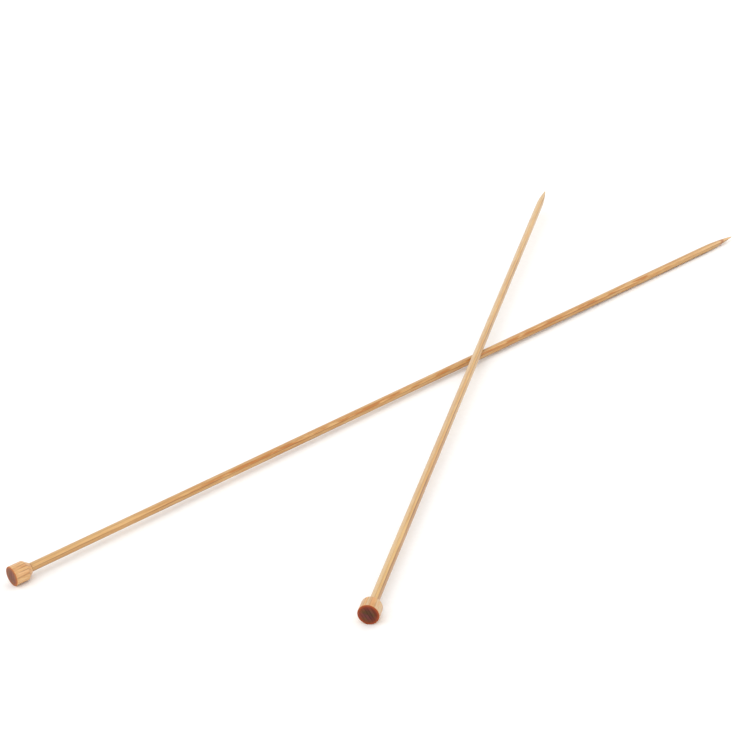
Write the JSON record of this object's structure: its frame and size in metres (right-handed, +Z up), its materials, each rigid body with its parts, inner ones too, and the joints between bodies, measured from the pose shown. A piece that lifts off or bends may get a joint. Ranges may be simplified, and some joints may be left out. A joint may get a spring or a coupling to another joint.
{
  "type": "pair of straight knitting needles",
  "caption": "Crossed pair of long thin laminated birch knitting needles, each with a tapered point and a short turned knob glued on its other end.",
  "frame": {"origin": "on the surface that the needles lie on, at the middle of the pair's outline seen from above", "axes": "+X along the lower needle from its knob to its point, seen from above; +Z up; +Y to the left of +X"},
  "size_m": [0.4, 0.2336, 0.0091],
  "materials": {
    "lower_birch_pale": "satin lacquer over pale laminated birch veneer",
    "lower_birch_brown": "satin lacquer over browner laminated birch veneer",
    "upper_birch_pale": "satin lacquer over pale laminated birch veneer",
    "upper_birch_brown": "satin lacquer over browner laminated birch veneer",
    "set_glue": "hard, dark amber, slightly glossy"
  },
  "bodies": {
    "lower_needle": {"lower_shaft_ply_1": "lower_birch_pale", "lower_shaft_ply_2": "lower_birch_brown", "lower_shaft_ply_3": "lower_birch_pale", "lower_knob_ply_1": "lower_birch_pale", "lower_knob_ply_2": "lower_birch_brown", "lower_knob_ply_3": "lower_birch_pale", "lower_knob_ply_4": "lower_birch_brown", "lower_knob_ply_5": "lower_birch_pale", "lower_knob_ply_6": "lower_birch_brown", "lower_knob_ply_7": "lower_birch_pale", "lower_knob_ply_8": "lower_birch_brown", "lower_knob_glue": "set_glue"},
    "upper_needle": {"upper_shaft_ply_1": "upper_birch_brown", "upper_shaft_ply_2": "upper_birch_pale", "upper_shaft_ply_3": "upper_birch_brown", "upper_knob_ply_1": "upper_birch_brown", "upper_knob_ply_2": "upper_birch_pale", "upper_knob_ply_3": "upper_birch_brown", "upper_knob_ply_4": "upper_birch_pale", "upper_knob_ply_5": "upper_birch_brown", "upper_knob_ply_6": "upper_birch_pale", "upper_knob_ply_7": "upper_birch_brown", "upper_knob_ply_8": "upper_birch_pale", "upper_knob_glue": "set_glue"}
  },
  "joints": [
    {"name": "crossing_swivel", "type": "hinge", "parent": "lower_needle", "child": "upper_needle", "pos_m": [0.03101, 0.00487, 0.00575], "axis": [0, 0, 1], "range_deg": [-28, 140]}
  ]
}
